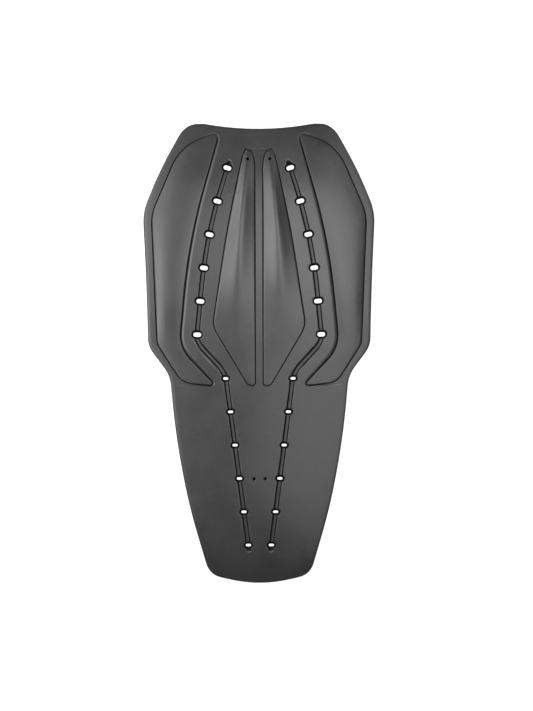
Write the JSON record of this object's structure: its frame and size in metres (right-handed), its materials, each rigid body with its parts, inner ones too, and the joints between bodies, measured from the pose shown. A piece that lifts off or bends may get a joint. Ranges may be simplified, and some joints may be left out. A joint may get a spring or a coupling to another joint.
{
  "type": "back protector insert",
  "caption": "Moulded foam back protector insert with a winged outline, ridged spine pads, crowned shoulder pads and slotted flex grooves; slips into a jacket's back pocket.",
  "frame": {"origin": "middle of the overall box, on the flat back that lies on the floor", "axes": "+Y along the spine towards the neck, +Z out of the outer face, +X across the back to the right in the picture"},
  "size_m": [0.2512, 0.5, 0.0182],
  "materials": {
    "foam": "satin moulded skin on soft impact foam"
  },
  "bodies": {
    "root": {"back_guard": "foam"}
  },
  "joints": []
}
